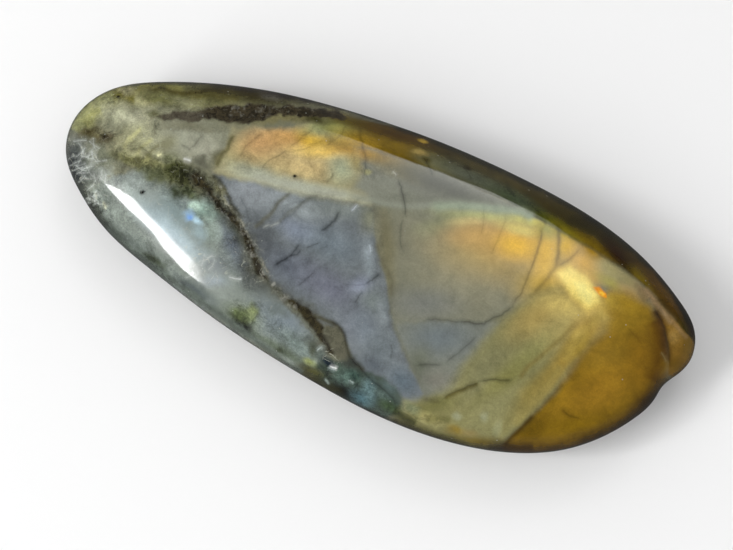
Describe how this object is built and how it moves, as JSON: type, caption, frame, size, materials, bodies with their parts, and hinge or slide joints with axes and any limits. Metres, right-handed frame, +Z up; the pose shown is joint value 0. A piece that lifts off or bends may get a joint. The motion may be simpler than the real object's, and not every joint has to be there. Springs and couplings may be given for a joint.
{
  "type": "polished labradorite stone",
  "caption": "Tongue-shaped polished labradorite pebble with a low domed top, a bevel along one side, a notch by its blunt tip and a flat underside to rest on.",
  "frame": {"origin": "middle of the stone's bounding box in plan, at the flat underside it rests on", "axes": "+X along the stone from its narrow end to its broad end and tip, +Y across it towards the bevelled side, +Z up from the flat underside to the domed polished top"},
  "size_m": [0.0856, 0.0364, 0.015],
  "materials": {
    "polished_labradorite": "high polish over translucent grey-green feldspar with blue, violet and gold colour flash and dark cracks"
  },
  "bodies": {
    "root": {"labradorite_stone": "polished_labradorite"}
  },
  "joints": []
}
